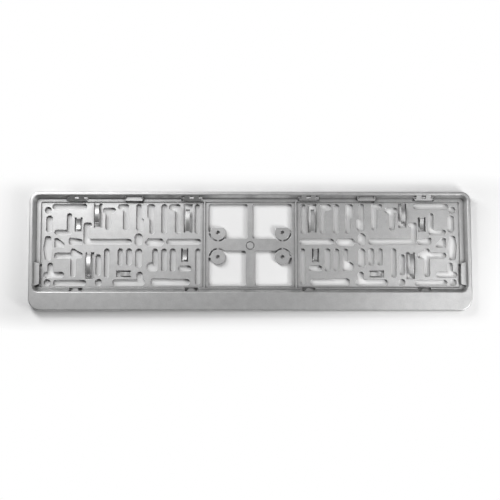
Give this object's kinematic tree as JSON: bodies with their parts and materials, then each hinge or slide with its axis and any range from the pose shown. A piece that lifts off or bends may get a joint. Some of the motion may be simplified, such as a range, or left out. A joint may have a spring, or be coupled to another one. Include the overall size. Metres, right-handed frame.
{
  "type": "number plate holder",
  "caption": "Flat rectangular plastic frame for a long number plate, with a slotted floor, spring tongues, snap catches and a wide lower strip.",
  "frame": {"origin": "middle of the bounding box at the rear plane, z = 0 where the holder lies against the car", "axes": "+X along the plate's length, +Y towards its upper edge, +Z out of the front face"},
  "size_m": [0.538, 0.1452, 0.012],
  "materials": {
    "silver_plastic": "satin silver lacquer with a fine metallic fleck"
  },
  "bodies": {
    "root": {"plate_holder": "silver_plastic"}
  },
  "joints": []
}
